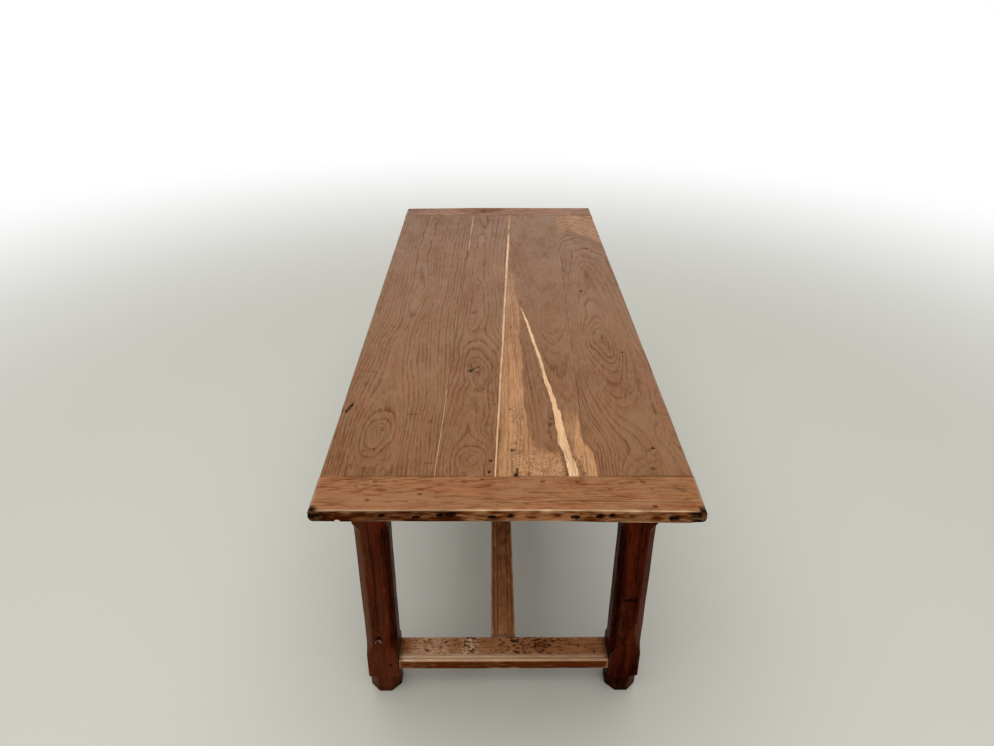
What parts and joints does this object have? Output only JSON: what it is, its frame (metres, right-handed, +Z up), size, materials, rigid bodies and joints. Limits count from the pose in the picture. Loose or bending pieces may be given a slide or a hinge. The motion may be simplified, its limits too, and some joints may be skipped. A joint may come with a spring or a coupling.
{
  "type": "farmhouse table",
  "caption": "Long rectangular farmhouse table: plank top with breadboard ends, stop-chamfered square legs and an H-shaped floor stretcher, for dining or kitchen work.",
  "frame": {"origin": "on the floor, below the middle of the top", "axes": "+Z up, +Y along the table to its far end, +X to the right when seen from the near end"},
  "size_m": [0.776, 2, 0.76],
  "materials": {
    "oak_top": "old oak, scrubbed grey-brown and waxed, with open seams and cracks",
    "oak_breadboards": "old oak, warmer brown, worn and blackened at the corners",
    "pale_fillets": "pale later oak, let into shrinkage gaps and a split",
    "inner_oak": "raw oak, hidden in the joints",
    "dark_legs": "dark red-brown waxed wood, with a soft gloss",
    "dark_aprons": "dark brown waxed wood",
    "worn_stretchers": "brown waxed wood, with the polish worn off by feet",
    "top_peg_oak": "oak end grain, darkened",
    "frame_peg_oak": "oak end grain under dark wax"
  },
  "bodies": {
    "root": {"top_board_left": "oak_top", "top_board_inner_left": "oak_top", "top_board_inner_right": "oak_top", "top_board_right": "oak_top", "breadboard_near": "oak_breadboards", "breadboard_far": "oak_breadboards", "seam_slip_left": "pale_fillets", "seam_slip_middle": "pale_fillets", "split_inlay": "pale_fillets", "loose_tongue_left": "inner_oak", "loose_tongue_middle": "inner_oak", "loose_tongue_right": "inner_oak", "leg_near_left": "dark_legs", "leg_near_right": "dark_legs", "leg_far_left": "dark_legs", "leg_far_right": "dark_legs", "side_apron_left": "dark_aprons", "side_apron_right": "dark_aprons", "end_apron_near": "dark_aprons", "end_apron_far": "dark_aprons", "cross_stretcher_near": "worn_stretchers", "cross_stretcher_far": "worn_stretchers", "long_stretcher": "worn_stretchers", "breadboard_pegs_near": "top_peg_oak", "breadboard_pegs_far": "top_peg_oak", "top_pegs": "top_peg_oak", "side_apron_pegs": "frame_peg_oak", "end_apron_pegs": "frame_peg_oak", "cross_stretcher_pegs": "frame_peg_oak", "long_stretcher_pegs": "frame_peg_oak"}
  },
  "joints": []
}
